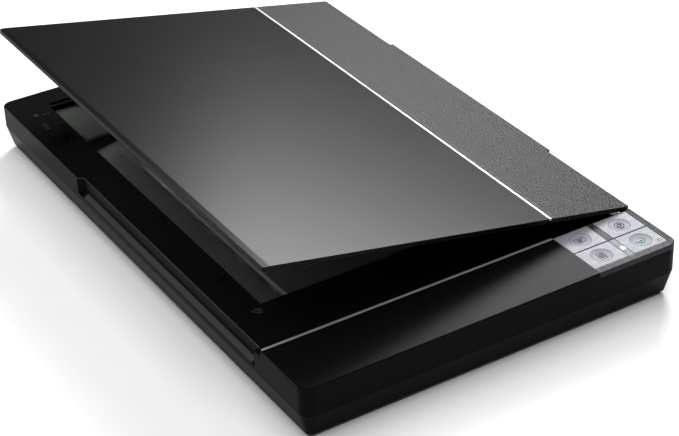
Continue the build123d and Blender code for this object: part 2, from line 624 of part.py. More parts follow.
with BuildPart() as kickstand:
    block((STAND[0], STAND[1]), (-STAND[2], STAND[2]), (STAND_AXIS_Z - 1.85, STAND_AXIS_Z + 0.2))
    barrel(STAND[1], (-STAND[2], STAND[2]), STAND_AXIS_Z, STAND_BARREL_R)
    block(
        (STAND[0] + 7, STAND[1] - 6),
        (-STAND[2] + 9, STAND[2] - 9),
        (0, STAND_AXIS_Z + 1),
        Mode.SUBTRACT,
    )
    block((STAND[0] + 7, STAND[1] - 6), (-4, 4), (STAND_AXIS_Z - 1.85, STAND_AXIS_Z + 0.2))
    barrel(STAND[1], (-STAND[2] - 1, STAND[2] + 1), STAND_AXIS_Z, PIN_R + 0.06, Mode.SUBTRACT)
kickstand.part.label = "kickstand"
export_step(kickstand.part, "parts/kickstand.step")

with BuildPart() as kickstand_pins:
    for y in ((-64.0, -50.0), (50.0, 64.0)):
        barrel(STAND[1], y, STAND_AXIS_Z, PIN_R)
kickstand_pins.part.label = "kickstand_pins"
export_step(kickstand_pins.part, "parts/kickstand_pins.step")

# ---- transport lock: a ribbed slider on the left border, with a tongue for the carriage
with BuildPart() as lock_slider:
    block((-131.2, -122.4), (134.7, 147.3), (DECK_TOP - 1.0, DECK_TOP))
    for x in (-125.6, -123.2):
        block((x - 0.45, x + 0.45), (135.4, 146.6), (DECK_TOP - 0.1, DECK_TOP + 0.9))
    block((-129.0, -125.4), (139.0, 143.0), (28.9, DECK_TOP - 0.9))
    block((-129.0, -111.2), (139.0, 143.0), (27.0, 29.2))
lock_slider.part.label = "lock_slider"
export_step(lock_slider.part, "parts/lock_slider.step")

# ================================================================ carriage
C_LEFT, C_RIGHT, C_FRONT, C_REAR = CARRIAGE
with BuildPart() as carriage_housing:
    block(CARRIAGE[0:2], CARRIAGE[2:4], (CARRIAGE_FLOOR, CARRIAGE_TOP))
    fillet(carriage_housing.edges().filter_by(Axis.Z), radius=2.0)
    block(
        (C_LEFT + 1.6, C_RIGHT - 1.6),
        (C_FRONT + 1.6, C_REAR - 1.6),
        (CARRIAGE_FLOOR + 1.8, CARRIAGE_TOP + 1),
        Mode.SUBTRACT,
    )
    # rear bridge that closes the top behind the scan slot
    block((C_LEFT, C_RIGHT), (198.4, C_REAR), (CARRIAGE_TOP - 1.6, CARRIAGE_TOP + 1.0))
    # carriers for the two bushes on the guide rod
    for y in ((139.0, 148.0), (192.0, 201.0)):
        block((ROD_X - 5.0, ROD_X + 5.0), y, (5.0, CARRIAGE_FLOOR + 0.5))
        barrel(ROD_X, (y[0] - 1, y[1] + 1), ROD_Z, 3.25, Mode.SUBTRACT)
    # foot that carries the slide shoe
    block((83.5, 92.5), (150.0, 190.0), (10.6, CARRIAGE_FLOOR + 0.5))
    # hole for the motor shaft
    post(PULLEY_X, MOTOR_Y, (CARRIAGE_FLOOR - 1, CARRIAGE_FLOOR + 3), 2.2, Mode.SUBTRACT)
    # clip that holds the moving end of the flat cable
    block((C_RIGHT - 1.0, CABLE_MOVING_X - 0.2), (145.0, 150.0), (CARRIAGE_FLOOR, 16.5))
    # notch for the transport lock's tongue
    block((C_LEFT - 1, C_LEFT + 2.6), (137.9, 144.1), (26.2, CARRIAGE_TOP + 2), Mode.SUBTRACT)
carriage_housing.part.label = "carriage_housing"
export_step(carriage_housing.part, "parts/carriage_housing.step")

with BuildPart() as carriage_cover:
    block((C_LEFT + 1.8, C_RIGHT - 1.8), (137.6, 188.8), (CARRIAGE_TOP + 0.05, 28.6))
    fillet(carriage_cover.edges().filter_by(Axis.Z), radius=1.5)
    block((C_LEFT, C_LEFT + 3.2), (137.0, 144.6), (CARRIAGE_TOP, 30), Mode.SUBTRACT)
    # two long stiffening beads
    for y in (150.0, 176.0):
        block((-60.0, 60.0), (y - 1, y + 1), (28.5, 28.9))
carriage_cover.part.label = "carriage_cover"
export_step(carriage_cover.part, "parts/carriage_cover.step")

with BuildPart() as light_guide:
    block((C_LEFT + 2.4, C_RIGHT - 2.4), (189.4, 192.8), (22.4, 27.8))
    chamfer(light_guide.edges().filter_by(Axis.X).group_by(Axis.Z)[-1].sort_by(Axis.Y)[-1], 1.6)
light_guide.part.label = "light_guide"
export_step(light_guide.part, "parts/light_guide.step")

with BuildPart() as led_board:
    block((C_RIGHT - 2.3, C_RIGHT - 1.7), (187.0, 197.0), (18.0, 26.0))
    block((C_RIGHT - 2.3, C_RIGHT - 1.9), (189.8, 192.4), (26.0, 26.6))
led_board.part.label = "led_board"
export_step(led_board.part, "parts/led_board.step")


def mirror_slab(y, z, tilt, half_length, width):
    """A long front-surface mirror across the carriage, tilted about X."""
    with Locations(Location((-3, y, z), (tilt, 0, 0))):
        Box(2 * half_length, width, 1.2)


with BuildPart() as mirrors:
    mirror_slab(195.4, 17.6, 42, 100, 8.0)
    mirror_slab(166.5, 18.2, -50, 72, 7.0)
    mirror_slab(184.0, 22.2, 62, 66, 6.0)
mirrors.part.label = "mirrors"
export_step(mirrors.part, "parts/mirrors.step")

LENS_X, LENS_Y, LENS_Z = 0.0, 152.0, 20.0
with BuildPart() as lens_barrel:
    barrel(LENS_X, (LENS_Y - 5, LENS_Y + 5), LENS_Z, 4.6)
    barrel(LENS_X, (LENS_Y + 3, LENS_Y + 6), LENS_Z, 5.4)
    barrel(LENS_X, (LENS_Y + 4.5, LENS_Y + 7), LENS_Z, 3.4, Mode.SUBTRACT)
lens_barrel.part.label = "lens_barrel"
export_step(lens_barrel.part, "parts/lens_barrel.step")

with BuildPart() as lens_clamp:
    block((LENS_X - 9, LENS_X + 9), (LENS_Y - 4, LENS_Y + 2), (14.05, 15.4))
    block((LENS_X - 5.8, LENS_X + 5.8), (LENS_Y - 4, LENS_Y + 2), (14.05, 25.9))
    barrel(LENS_X, (LENS_Y - 6, LENS_Y + 6), LENS_Z, 4.65, Mode.SUBTRACT)
lens_clamp.part.label = "lens_clamp"
export_step(lens_clamp.part, "parts/lens_clamp.step")

with BuildPart() as sensor_board:
    block((-48.0, 48.0), (138.7, 140.1), (14.1, 26.4))
    block((-3.0, 12.0), (140.1, 141.2), (22.8, 25.6))
sensor_board.part.label = "sensor_board"
export_step(sensor_board.part, "parts/sensor_board.step")

with BuildPart() as image_sensor:
    block((-27.0, 27.0), (140.15, 142.6), (16.0, 21.6))
    block((-23.0, 23.0), (142.6, 143.0), (18.2, 19.6))
image_sensor.part.label = "image_sensor"
export_step(image_sensor.part, "parts/image_sensor.step")

with BuildPart() as stepper_motor:
    post(PULLEY_X, MOTOR_Y, (CARRIAGE_FLOOR + 1.9, 26.2), 9.2)
    fillet(stepper_motor.edges().group_by(Axis.Z)[-1], radius=1.0)
    post(PULLEY_X, MOTOR_Y, (CARRIAGE_FLOOR, 17.0), 1.3, Mode.SUBTRACT)
    block((PULLEY_X - 4, PULLEY_X + 4), (MOTOR_Y + 8.6, MOTOR_Y + 11.0), (15.0, 21.0))
stepper_motor.part.label = "stepper_motor"
export_step(stepper_motor.part, "parts/stepper_motor.step")

with BuildPart() as motor_pinion:
    pinion_outline = toothed_sketch(PINION_TEETH, GEAR_MODULE * PINION_TEETH / 2, 90)
    with Locations((PULLEY_X, MOTOR_Y, 9.1)):
        add(pinion_outline)
    extrude(amount=2.5)
    post(PULLEY_X, MOTOR_Y, (8.6, 16.6), 1.0)
motor_pinion.part.label = "motor_pinion"
export_step(motor_pinion.part, "parts/motor_pinion.step")

with BuildPart() as drive_gear:
    gear_outline = toothed_sketch(
        GEAR_TEETH, GEAR_MODULE * GEAR_TEETH / 2, -90 + 180 / GEAR_TEETH
    )
    with Locations((PULLEY_X, PULLEY_Y, 9.2)):
        add(gear_outline)
    extrude(amount=2.3)
    post(PULLEY_X, PULLEY_Y, (8.7, 9.3), 5.6)
    with BuildSketch(Plane.XY.offset(4.9)):
        with Locations((PULLEY_X, PULLEY_Y)):
            Circle(4.75)
            with PolarLocations(PULLEY_PITCH_R, PULLEY_TEETH, start_angle=180):
                Rectangle(2 * (PULLEY_PITCH_R - 3.8), 1.4, mode=Mode.SUBTRACT)
    extrude(amount=3.9)
    post(PULLEY_X, PULLEY_Y, (4.0, 13.0), 1.55, Mode.SUBTRACT)
drive_gear.part.label = "drive_gear"
export_step(drive_gear.part, "parts/drive_gear.step")

with BuildPart() as gear_axle:
    post(PULLEY_X, PULLEY_Y, (4.4, 12.15), 1.5)
    post(PULLEY_X, PULLEY_Y, (4.4, 4.8), 2.4)
    post(PULLEY_X, PULLEY_Y, (11.6, 12.15), 3.0)
gear_axle.part.label = "gear_axle"
export_step(gear_axle.part, "parts/gear_axle.step")

GUIDE_PIN_R = 2.3
GUIDE_PIN_X = BELT_BACK_X - 0.1 - GUIDE_PIN_R
with BuildPart() as belt_guides:
    for y in (PULLEY_Y - 12.5, PULLEY_Y + 12.5):
        post(GUIDE_PIN_X, y, (4.8, CARRIAGE_FLOOR - 0.05), GUIDE_PIN_R)
belt_guides.part.label = "belt_guides"
export_step(belt_guides.part, "parts/belt_guides.step")

with BuildPart() as slide_bushings:
    for y in ((138.6, 148.4), (191.6, 201.4)):
        barrel(ROD_X, y, ROD_Z, 3.2)
        barrel(ROD_X, (y[0] - 1, y[1] + 1), ROD_Z, ROD_R + 0.05, Mode.SUBTRACT)
slide_bushings.part.label = "slide_bushings"
export_step(slide_bushings.part, "parts/slide_bushings.step")

with BuildPart() as slide_shoe:
    block((84.5, 91.5), (152.0, 188.0), (9.35, 10.6))
    fillet(slide_shoe.edges().filter_by(Axis.X).group_by(Axis.Z)[0], radius=0.8)
slide_shoe.part.label = "slide_shoe"
export_step(slide_shoe.part, "parts/slide_shoe.step")

# ================================================================ lid hinges
with BuildPart() as hinge_sockets:
    for y in HINGE_YS:
        block((124.4, 134.5), (y - 8.3, y + 8.3), (8.05, REBATE_TOP - WALL - 0.1))
        block((126.2, 132.8), (y - 6.05, y + 6.05), (9.0, 40), Mode.SUBTRACT)
hinge_sockets.part.label = "hinge_sockets"
export_step(hinge_sockets.part, "parts/hinge_sockets.step")

with BuildPart() as hinge_posts:
    for y in HINGE_YS:
        side = (y - 5.7, y + 5.7)
        block((126.6, 132.4), side, (9.1, 34.3))
        block((126.6, HINGE_X + 0.6), side, (31.2, 34.3))
        block((HINGE_X - 1.9, HINGE_X + 1.6), side, (33.0, HINGE_Z))
        barrel(HINGE_X, side, HINGE_Z, BARREL_R)
        barrel(HINGE_X, (y - 8, y + 8), HINGE_Z, PIN_R + 0.05, Mode.SUBTRACT)
hinge_posts.part.label = "hinge_posts"
export_step(hinge_posts.part, "parts/hinge_posts.step")

with BuildPart(lid_plane) as hinge_brackets:
    for y in HINGE_YS:
        for ear in ((y - 11.5, y - 6.3), (y + 6.3, y + 11.5)):
            barrel(0, ear, 0, BARREL_R)
            block((-6.0, 0.0), ear, (0.0, BARREL_R))
            block((-21.0, -4.0), ear, (0.6, 2.55))
        block((-21.0, -7.0), (y - 11.5, y + 11.5), (0.6, 2.55))
        for ear_y in (y - 8.0, y + 8.0):
            post(-15.0, ear_y, (0, 3), 1.45, Mode.SUBTRACT)
        barrel(0, (y - 13, y + 13), 0, PIN_R + 0.02, Mode.SUBTRACT)
hinge_brackets.part.label = "hinge_brackets"
export_step(hinge_brackets.part, "parts/hinge_brackets.step")

with BuildPart(lid_plane) as hinge_pins:
    for y in HINGE_YS:
        barrel(0, (y - 11.4, y + 11.4), 0, PIN_R)
hinge_pins.part.label = "hinge_pins"
export_step(hinge_pins.part, "parts/hinge_pins.step")

with BuildPart(lid_plane) as hinge_screws:
    for y in HINGE_YS:
        for screw_y in (y - 8.0, y + 8.0):
            post(-15.0, screw_y, (-0.9, 0.55), 2.4)
            post(-15.0, screw_y, (0.5, 3.4), 1.3)
hinge_screws.part.label = "hinge_screws"
export_step(hinge_screws.part, "parts/hinge_screws.step")

# ================================================================ lid
with BuildPart(lid_plane) as lid_shell:
    # smooth main panel with a turned-down edge
    block((LID_LEFT, TRIM_X[0] - 0.15), (LID_FRONT, LID_REAR), (LID_EDGE_BOTTOM, LID_TOP))
    depth = LID_TOP - LID_EDGE_BOTTOM
    corner = lid_shell.edges().filter_by(lambda e: abs(e.length - depth) < 0.01)
    fillet(corner.sort_by(Axis.X)[:2], radius=2.0)
    block(
        (LID_LEFT + 1.8, 0),
        (LID_FRONT + 1.8, LID_REAR - 1.8),
        (-1, LID_TOP - LID_SKIN),
        Mode.SUBTRACT,
    )
    # lowered shelf that carries the trim strip and the side panel
    block((-70.0, -24.0), (LID_FRONT + 1.8, LID_REAR - 1.8), (1.0, 2.6))
    # slight bevel along the free edge
    with BuildSketch(lid_section.offset(-LID_REAR - 1)):
        with BuildLine():
            Polyline(
                (LID_LEFT - 1, LID_TOP - 0.6),
                (LID_LEFT + 4.1, LID_TOP),
                (LID_LEFT + 4.1, LID_TOP + 1),
                (LID_LEFT - 1, LID_TOP + 1),
                close=True,
            )
        make_face()
    extrude(amount=LID_REAR - LID_FRONT + 2, mode=Mode.SUBTRACT)
lid_shell.part.label = "lid_shell"
export_step(lid_shell.part, "parts/lid_shell.step")

with BuildPart(lid_plane) as lid_side_panel:
    skirt = 1.5
    block((TRIM_X[1] + 0.15, LID_RIGHT), (LID_FRONT, LID_REAR), (LID_EDGE_BOTTOM, LID_TOP))
    block((LID_RIGHT - skirt, LID_RIGHT), (LID_FRONT, LID_REAR), (LID_HINGE_SKIRT, LID_TOP))
    block((LID_RIGHT - 1, LID_HINGE_EDGE), HINGE_EDGE, (LID_HINGE_SKIRT, LID_TOP))
    block(
        (TRIM_X[1] - 1, LID_RIGHT - skirt),
        (LID_FRONT + 1.8, LID_REAR - 1.8),
        (-5, 2.8),
        Mode.SUBTRACT,
    )
    block(
        (0, LID_HINGE_EDGE - skirt),
        (HINGE_EDGE[0] + skirt, HINGE_EDGE[1] - skirt),
        (-5, 2.8),
        Mode.SUBTRACT,
    )
    for y in HINGE_YS:
        block((0, LID_HINGE_EDGE + 1), (y - 6.6, y + 6.6), (-5, 2.8), Mode.SUBTRACT)
        for screw_y in (y - 8.0, y + 8.0):
            post(-15.0, screw_y, (2.0, 3.5), 1.35, Mode.SUBTRACT)
lid_side_panel.part.label = "lid_side_panel"
export_step(lid_side_panel.part, "parts/lid_side_panel.step")

with BuildPart(lid_plane) as lid_trim_strip:
    block(TRIM_X, (LID_FRONT + 0.1, LID_REAR - 0.1), (2.65, LID_TOP + 0.15))
    fillet(lid_trim_strip.faces().sort_by(Axis.Z)[-1].edges().filter_by(Axis.Y), radius=0.25)
lid_trim_strip.part.label = "lid_trim_strip"
export_step(lid_trim_strip.part, "parts/lid_trim_strip.step")

with BuildPart(lid_plane) as lid_inner_panel:
    block((-269.0, -25.0), (-157.0, 205.0), (-1.6, 0.95))
    block((-267.4, -26.6), (-155.4, 203.4), (-0.2, 1.2), Mode.SUBTRACT)
    # webs that stiffen the panel
    for x in (-220.0, -170.0, -120.0):
        block((x - 0.7, x + 0.7), (-156.0, 204.0), (-0.3, 2.15))
    for y in (-90.0, 0.0, 90.0):
        block((-268.0, -71.0), (y - 0.7, y + 0.7), (-0.3, 2.15))
lid_inner_panel.part.label = "lid_inner_panel"
export_step(lid_inner_panel.part, "parts/lid_inner_panel.step")

with BuildPart(lid_plane) as document_mat:
    block((-246.0, -32.0), (-114.5, 185.7), (-4.4, -1.65))
    fillet(document_mat.edges().filter_by(lambda e: abs(e.length - 2.75) < 0.01), radius=3.0)
document_mat.part.label = "document_mat"
export_step(document_mat.part, "parts/document_mat.step")
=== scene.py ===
"""Looks of the flatbed scanner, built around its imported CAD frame. Units are metres."""

import json
import math

import bmesh
import bpy
from mathutils import Matrix, Vector


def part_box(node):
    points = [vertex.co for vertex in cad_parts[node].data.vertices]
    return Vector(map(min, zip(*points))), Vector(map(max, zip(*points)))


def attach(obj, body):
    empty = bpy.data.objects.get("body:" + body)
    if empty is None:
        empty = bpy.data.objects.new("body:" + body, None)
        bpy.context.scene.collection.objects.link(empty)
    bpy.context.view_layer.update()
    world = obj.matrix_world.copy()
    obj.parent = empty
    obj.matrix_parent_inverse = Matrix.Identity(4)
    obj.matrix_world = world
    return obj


MM = 0.001
BOARD_BRICKS = 220  # cells per metre of the boards' track pattern

# icons in the buttons' dishes
BUTTONS = ("button_rear_left", "button_rear_right", "button_front_left", "button_front_right")
START_BUTTON = BUTTONS[3]
ICON_DEPTH = 0.62 * MM  # the icons lie just over the dish, this far under the top
ICON_LINE = 0.34 * MM
ICON_SCALE = 1.5 * MM
DISH_RADIUS = 7.25 * MM
PLATE_THICKNESS = 0.1 * MM

# marks on the case, painted edge highlights and the recess ledge's painted light
DECK_TOP = 34.6 * MM
MARK_LINE = 0.28 * MM
MARK_ANGLES = (205, 248)  # fan of ticks at the glass's front left corner
BURST_CENTRE = (-125.8 * MM, 183 * MM)
BURST_NEAR = 1.0 * MM
BURST_FAR = (2.3 * MM, 1.8 * MM)  # long and short rays by turns
LENS_SIZE = (2.6 * MM, 3.2 * MM, 0.5 * MM)
RIM_INSETS = (1.9 * MM, 3.1 * MM)
# painted highlight along the edge of the groove beside the lid's silver strip
LID_HIGHLIGHT_X = -59.8 * MM  # in the lid's frame, from the hinge axis
LID_HIGHLIGHT_Z = 4.0 * MM
LID_HIGHLIGHT_Y = (-164.2 * MM, 212.4 * MM)
RECESS_X = (-139.7 * MM, -136.25 * MM)  # outer and inner edge of the ledge's grained face
RECESS_Z = (22.65 * MM, 24.72 * MM)
RECESS_Y = (-153.0 * MM, 77.5 * MM)

# camera
CAMERA_LOCATION = (-0.58352, -0.99749, 0.71636)
CAMERA_AZIMUTH = math.radians(-31.567)
CAMERA_ELEVATION = math.radians(32.029)
CAMERA_ROLL = math.radians(-1.622)
CAMERA_LENS = 103.75
CAMERA_SHIFT = (-0.0213, 0.0040)

# soft lights: name, location, target, size in metres, power in watts
LIGHTS = (
    ("overhead", (-0.4, 0, 2.5), (-0.2, 0, 0), (3.4, 3.2), 88),
    ("back", (1.24, 1.18, 1.14), (0, 0, 0), (0.8, 0.7), 46),
)
SKY_STRENGTH = 0.09

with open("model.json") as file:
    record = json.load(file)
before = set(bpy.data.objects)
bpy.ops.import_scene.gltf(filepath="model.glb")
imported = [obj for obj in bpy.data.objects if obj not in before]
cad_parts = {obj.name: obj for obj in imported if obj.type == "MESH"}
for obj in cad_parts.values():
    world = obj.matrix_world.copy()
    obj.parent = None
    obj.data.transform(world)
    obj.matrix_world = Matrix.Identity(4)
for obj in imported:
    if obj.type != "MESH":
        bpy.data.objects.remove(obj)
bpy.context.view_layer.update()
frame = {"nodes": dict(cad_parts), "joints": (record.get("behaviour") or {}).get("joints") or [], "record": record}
nodes = frame["nodes"]


# ---------------------------------------------------------------- materials
def new_tree(name):
    """An empty material with its Principled shader: (material, nodes, links, shader)."""
    material = bpy.data.materials.new(name)
    material.use_nodes = True
    tree = material.node_tree
    shader = tree.nodes["Principled BSDF"]
    return material, tree.nodes, tree.links, shader


def noise_node(tree_nodes, links, scale, detail=4.0, stretch=(1, 1, 1)):
    """Noise in object space. The scale counts cycles per metre."""
    where = tree_nodes.new("ShaderNodeTexCoord")
    mapping = tree_nodes.new("ShaderNodeMapping")
    mapping.inputs["Scale"].default_value = stretch
    noise = tree_nodes.new("ShaderNodeTexNoise")
    noise.inputs["Scale"].default_value = scale
    noise.inputs["Detail"].default_value = detail
    links.new(where.outputs["Object"], mapping.inputs["Vector"])
    links.new(mapping.outputs["Vector"], noise.inputs["Vector"])
    return noise


def spread(tree_nodes, links, source, low, high):
    """Maps the middle of a noise onto the range from low to high."""
    ramp = tree_nodes.new("ShaderNodeMapRange")
    ramp.inputs["From Min"].default_value = 0.3
    ramp.inputs["From Max"].default_value = 0.7
    ramp.inputs["To Min"].default_value = low
    ramp.inputs["To Max"].default_value = high
    links.new(source, ramp.inputs["Value"])
    return ramp.outputs["Result"]


def mottled_color(tree_nodes, links, source, color, amount):
    """The colour, made lighter and darker by a noise, by the given share."""
    mix = tree_nodes.new("ShaderNodeMix")
    mix.data_type = "RGBA"
    mix.inputs["A"].default_value = [c * (1 - amount) for c in color] + [1]
    mix.inputs["B"].default_value = [min(1, c * (1 + amount)) for c in color] + [1]
    links.new(source, mix.inputs["Factor"])
    return mix.outputs["Result"]


def surface(
    name, color, roughness, metallic=0.0, grain=(1500, 0.1), mottle=(60, 0.12),
    uneven=0.05, stretch=(1, 1, 1), specular=0.5,
):
    """A solid material: mottled colour, uneven gloss and a fine grain in the surface.

    grain is (cycles per metre, strength), mottle is (cycles per metre, share of the colour).
    """
    material, tree_nodes, links, shader = new_tree(name)
    shader.inputs["Metallic"].default_value = metallic
    shader.inputs["Specular IOR Level"].default_value = specular
    blotches = noise_node(tree_nodes, links, mottle[0], stretch=stretch)
    tint = mottled_color(tree_nodes, links, blotches.outputs["Fac"], color, mottle[1])
    links.new(tint, shader.inputs["Base Color"])
    gloss_noise = noise_node(tree_nodes, links, mottle[0] * 5, stretch=stretch)
    gloss = spread(
        tree_nodes, links, gloss_noise.outputs["Fac"], roughness - uneven, roughness + uneven
    )
    links.new(gloss, shader.inputs["Roughness"])
    fine = noise_node(tree_nodes, links, grain[0], detail=3.0, stretch=stretch)
    bump = tree_nodes.new("ShaderNodeBump")
    bump.inputs["Strength"].default_value = grain[1]
    bump.inputs["Distance"].default_value = 0.1 * MM
    links.new(fine.outputs["Fac"], bump.inputs["Height"])
    links.new(bump.outputs["Normal"], shader.inputs["Normal"])
    return material


def leather_grain(name, color, roughness, cell=900, strength=0.5, specular=0.5):
    """Moulded plastic with a pebbled grain, as on the lid's hinge side."""
    material, tree_nodes, links, shader = new_tree(name)
    shader.inputs["Specular IOR Level"].default_value = specular
    where = tree_nodes.new("ShaderNodeTexCoord")
    pebbles = tree_nodes.new("ShaderNodeTexVoronoi")
    pebbles.feature = "SMOOTH_F1"
    pebbles.inputs["Scale"].default_value = cell
    pebbles.inputs["Smoothness"].default_value = 0.6
    links.new(where.outputs["Object"], pebbles.inputs["Vector"])
    fine = noise_node(tree_nodes, links, cell * 1.7)
    height = tree_nodes.new("ShaderNodeMath")
    height.operation = "ADD"
    links.new(pebbles.outputs["Distance"], height.inputs[0])
    links.new(fine.outputs["Fac"], height.inputs[1])
    bump = tree_nodes.new("ShaderNodeBump")
    bump.inputs["Strength"].default_value = strength
    bump.inputs["Distance"].default_value = 0.2 * MM
    links.new(height.outputs["Value"], bump.inputs["Height"])
    links.new(bump.outputs["Normal"], shader.inputs["Normal"])
    tint = mottled_color(tree_nodes, links, fine.outputs["Fac"], color, 0.35)
    links.new(tint, shader.inputs["Base Color"])
    gloss = spread(tree_nodes, links, fine.outputs["Fac"], roughness - 0.08, roughness + 0.08)
    links.new(gloss, shader.inputs["Roughness"])
    return material


def clear(name, color, roughness, ior=1.5):
    """Glass or clear plastic with faint smears in its polish."""
    material, tree_nodes, links, shader = new_tree(name)
    shader.inputs["Transmission Weight"].default_value = 1.0
    shader.inputs["IOR"].default_value = ior
    smears = noise_node(tree_nodes, links, 25)
    gloss = spread(tree_nodes, links, smears.outputs["Fac"], roughness, roughness + 0.03)
    links.new(gloss, shader.inputs["Roughness"])
    tint = mottled_color(tree_nodes, links, smears.outputs["Fac"], color, 0.02)
    links.new(tint, shader.inputs["Base Color"])
    return material


def glowing(name, color, strength):
    """A small lit lamp."""
    material, tree_nodes, links, shader = new_tree(name)
    spots = noise_node(tree_nodes, links, 900)
    tint = mottled_color(tree_nodes, links, spots.outputs["Fac"], color, 0.1)
    links.new(tint, shader.inputs["Base Color"])
    links.new(tint, shader.inputs["Emission Color"])
    shader.inputs["Emission Strength"].default_value = strength
    return material


def circuit_board(name, color):
    """Green lacquer with the faint relief of copper tracks under it."""
    material, tree_nodes, links, shader = new_tree(name)
    where = tree_nodes.new("ShaderNodeTexCoord")
    tracks = tree_nodes.new("ShaderNodeTexBrick")
    tracks.inputs["Scale"].default_value = BOARD_BRICKS
    tracks.inputs["Mortar Size"].default_value = 0.03
    tracks.inputs["Color1"].default_value = [*color, 1]
    tracks.inputs["Color2"].default_value = [c * 0.8 for c in color] + [1]
    tracks.inputs["Mortar"].default_value = [c * 1.9 for c in color] + [1]
    links.new(where.outputs["Object"], tracks.inputs["Vector"])
    links.new(tracks.outputs["Color"], shader.inputs["Base Color"])
    shader.inputs["Roughness"].default_value = 0.35
    bump = tree_nodes.new("ShaderNodeBump")
    bump.inputs["Strength"].default_value = 0.25
    bump.inputs["Distance"].default_value = 0.05 * MM
    links.new(tracks.outputs["Fac"], bump.inputs["Height"])
    links.new(bump.outputs["Normal"], shader.inputs["Normal"])
    return material


MATERIALS = {
    "case_black": leather_grain("case_black", (0.003, 0.003, 0.0034), 0.38, 1500, 0.2, 0.032),
    "case_inner_black": surface("case_inner_black", (0.004, 0.004, 0.0045), 0.6, specular=0.04),
    "lid_black": surface(
        "lid_black", (0.005, 0.0053, 0.006), 0.25, grain=(2600, 0.012), mottle=(8, 0.03),
        uneven=0.004, specular=0.055,
    ),
    "band_black": leather_grain("band_black", (0.009, 0.009, 0.0095), 0.40, 700, 1.0, 0.085),
    "bezel_grey": surface("bezel_grey", (0.028, 0.029, 0.033), 0.45, specular=0.08),
    "silver_trim": surface(
        "silver_trim", (0.40, 0.405, 0.42), 0.34, metallic=0.5, grain=(900, 0.03),
        stretch=(1, 0.05, 1),
    ),
    "button_silver": surface(
        "button_silver", (0.225, 0.228, 0.26), 0.42, grain=(2500, 0.08), specular=0.15
    ),
    "clear_glass": clear("clear_glass", (0.86, 0.93, 0.91), 0.0),
    "mirror_glass": surface(
        "mirror_glass", (0.86, 0.87, 0.88), 0.07, metallic=1.0, grain=(300, 0.0), uneven=0.02
    ),
    "tape_black": surface("tape_black", (0.012, 0.012, 0.012), 0.7),
    "white_plastic": surface("white_plastic", (0.80, 0.80, 0.78), 0.5),
    # painted shade: the carriage cover's grey is darkened below its own light grey to stand for the shade inside
    # the case
    "cover_grey": surface("cover_grey", (0.15, 0.145, 0.115), 0.6, grain=(1800, 0.2)),
    "lens_black": surface("lens_black", (0.03, 0.03, 0.032), 0.35, metallic=0.8),
    "steel": surface(
        "steel", (0.56, 0.56, 0.57), 0.25, metallic=1.0, grain=(1200, 0.1), stretch=(1, 0.1, 1)
    ),
    "zinc_screw": surface("zinc_screw", (0.48, 0.47, 0.44), 0.35, metallic=1.0),
    "brass_gear": surface("brass_gear", (0.68, 0.50, 0.22), 0.32, metallic=1.0),
    "nylon_white": surface("nylon_white", (0.78, 0.77, 0.72), 0.45),
    "bronze_bush": surface("bronze_bush", (0.50, 0.33, 0.17), 0.45, metallic=1.0),
    "belt_rubber": surface("belt_rubber", (0.02, 0.02, 0.02), 0.75, grain=(2500, 0.4)),
    "foot_rubber": surface("foot_rubber", (0.03, 0.03, 0.03), 0.8, grain=(2000, 0.4)),
    "board_green": circuit_board("board_green", (0.02, 0.13, 0.06)),
    "chip_black": surface("chip_black", (0.02, 0.02, 0.022), 0.5, grain=(3000, 0.3)),
    "cable_white": surface(
        "cable_white", (0.75, 0.76, 0.76), 0.35, grain=(1200, 0.5), stretch=(0, 0, 1)
    ),
    "foam_white": surface("foam_white", (0.83, 0.83, 0.81), 0.75, grain=(900, 0.5)),
    "window_smoke": surface(
        "window_smoke", (0.10, 0.10, 0.14), 0.35, grain=(2500, 0.05), specular=0.1
    ),
    "led_green": glowing("led_green", (0.55, 1.0, 0.55), 3.0),
    "icon_teal": surface("icon_teal", (0.01, 0.09, 0.085), 0.4, specular=0.1),
    "plate_teal": surface("plate_teal", (0.12, 0.22, 0.215), 0.4, specular=0.2),
    # the grain is real; the grey, far lighter than case_black, is painted light on the up-facing recess ledge
    "lit_ledge_grain": leather_grain("lit_ledge_grain", (0.045, 0.045, 0.048), 0.6, 900, 0.8, 0.2),
    "icon_grey": surface("icon_grey", (0.02, 0.021, 0.026), 0.4, specular=0.1),
    # painted highlight colour for the bright edge lines on the deck and the lid
    "edge_highlight_grey": surface("edge_highlight_grey", (0.10, 0.10, 0.105), 0.35, specular=0.4),
    "mark_grey": surface("mark_grey", (0.05, 0.05, 0.052), 0.45),
}


def dress_nodes():
    """Gives every carried-over CAD node the material of its slot."""
    for row in frame["record"]["subparts"]:
        node = nodes[row["node"]]
        node.data.materials.clear()
        node.data.materials.append(MATERIALS[row["material_slot"]])


dress_nodes()


# ---------------------------------------------------------------- helpers for pieces
def finish_piece(obj, material, body):
    """Gives the piece its material and the body that it rides on."""
    obj.data.materials.append(MATERIALS[material])
    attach(obj, body)
    return obj


def stroke(name, paths, radius, material, body, cyclic=False, place=None):
    """Thin raised or printed lines along lists of points, given in place's own frame."""
    curve = bpy.data.curves.new(name, "CURVE")
    curve.dimensions = "3D"
    curve.bevel_depth = radius
    curve.bevel_resolution = 2
    for path in paths:
        spline = curve.splines.new("POLY")
        spline.points.add(len(path) - 1)
        for point, position in zip(spline.points, path):
            point.co = (*position, 1)
        spline.use_cyclic_u = cyclic
    obj = bpy.data.objects.new(name, curve)
    bpy.context.scene.collection.objects.link(obj)
    if place is not None:
        obj.matrix_world = place
    return finish_piece(obj, material, body)


def arc(cx, cy, radius, start, end, z, steps=24):
    """Points on an arc between two angles in degrees."""
    angles = [math.radians(start + (end - start) * i / steps) for i in range(steps + 1)]
    return [(cx + radius * math.cos(a), cy + radius * math.sin(a), z) for a in angles]


def flattened(x, y, z):
    """A place whose lines are pressed flat onto the surface there."""
    return Matrix.Translation((x, y, z)) @ Matrix.Diagonal((1, 1, 0.35, 1))


# ---------------------------------------------------------------- button icons
def button_centre(node):
    """Middle of the button's top, as x, y and z."""
    low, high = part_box(node)
    return (low.x + high.x) / 2, (low.y + high.y) / 2, high.z


